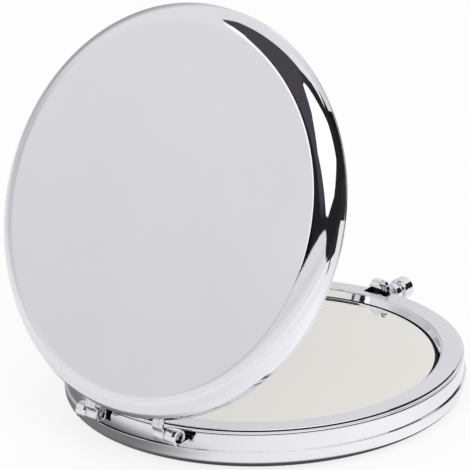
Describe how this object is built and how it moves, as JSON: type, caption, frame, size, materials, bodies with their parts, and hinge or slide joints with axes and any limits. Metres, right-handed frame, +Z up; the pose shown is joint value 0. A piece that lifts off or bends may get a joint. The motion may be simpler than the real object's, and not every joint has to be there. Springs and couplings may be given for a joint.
{
  "type": "compact mirror",
  "caption": "Round folding compact mirror: two pressed metal shells with framed mirrors, rolled hinge barrels and a sprung hook latch worked by a knob.",
  "frame": {"origin": "centre of the base's flat underside, on the table", "axes": "+Z up, -Y towards the hinge, +Y towards the latch knob, +X to the right seen from the hinge side, along the hinge line"},
  "size_m": [0.0706, 0.0819, 0.0733],
  "materials": {
    "case_chrome": "polished plating, faint handling marks",
    "ring_chrome": "polished plating",
    "hinge_chrome": "polished plating on rolled sheet",
    "latch_chrome": "polished plating on turned and cut pieces",
    "pin_steel": "drawn wire and cut sheet",
    "mirror_glass": "silvered flat glass",
    "backing_pad": "dark pressed board"
  },
  "bodies": {
    "base": {"base_shell": "case_chrome", "base_ring": "ring_chrome", "base_mirror": "mirror_glass", "base_pad": "backing_pad", "base_hinge_leaf_left": "hinge_chrome", "base_hinge_leaf_right": "hinge_chrome", "hinge_pin_left": "pin_steel", "hinge_pin_right": "pin_steel", "latch_spring": "pin_steel", "latch_bracket": "pin_steel"},
    "lid": {"lid_shell": "case_chrome", "lid_ring": "ring_chrome", "lid_mirror": "mirror_glass", "lid_pad": "backing_pad", "lid_hinge_leaf_left": "hinge_chrome", "lid_hinge_leaf_right": "hinge_chrome"},
    "latch": {"latch_knob": "latch_chrome", "latch_hook": "latch_chrome"}
  },
  "joints": [
    {"name": "lid_hinge", "type": "hinge", "parent": "base", "child": "lid", "pos_m": [0, -0.03635, 0.0067], "axis": [1, 0, 0], "range_deg": [-66, 114]},
    {"name": "latch_push", "type": "slide", "parent": "base", "child": "latch", "axis": [0, -1, 0], "range_m": [0, 0.0008], "stiffness_N_per_m": 600, "springref_m": -0.0008, "deforming": ["latch_spring"]}
  ]
}
